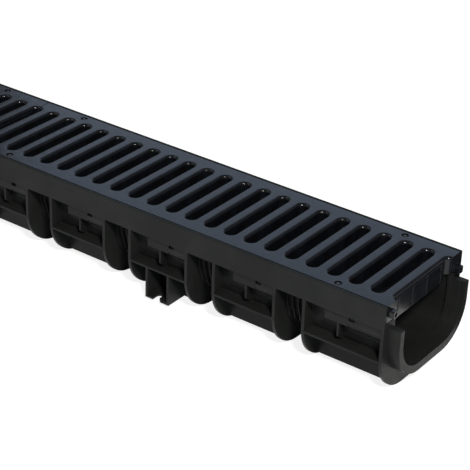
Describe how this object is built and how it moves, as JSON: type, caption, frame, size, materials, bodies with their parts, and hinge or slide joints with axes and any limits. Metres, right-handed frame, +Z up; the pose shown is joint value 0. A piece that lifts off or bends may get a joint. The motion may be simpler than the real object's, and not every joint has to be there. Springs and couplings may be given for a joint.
{
  "type": "channel drain",
  "caption": "Narrow linear drain channel with a ribbed moulded body, a spigot and socket for joining lengths, and slotted gratings that rest flush between its side rails.",
  "frame": {"origin": "middle of the overall length with the spigot, half way across, on the underside of the flanges", "axes": "+X along the channel towards the spigot, +Z up out of the gratings, +Y across to the rear rail"},
  "size_m": [1.013, 0.13, 0.094],
  "materials": {
    "channel": "moulded, matt",
    "grating": "moulded, satin",
    "pin": "moulded, matt"
  },
  "bodies": {
    "root": {"channel_body": "channel", "grating_left": "grating", "grating_right": "grating", "locking_pin_1": "pin", "locking_pin_2": "pin", "locking_pin_3": "pin", "locking_pin_4": "pin", "locking_pin_5": "pin", "locking_pin_6": "pin", "locking_pin_7": "pin", "locking_pin_8": "pin"}
  },
  "joints": []
}
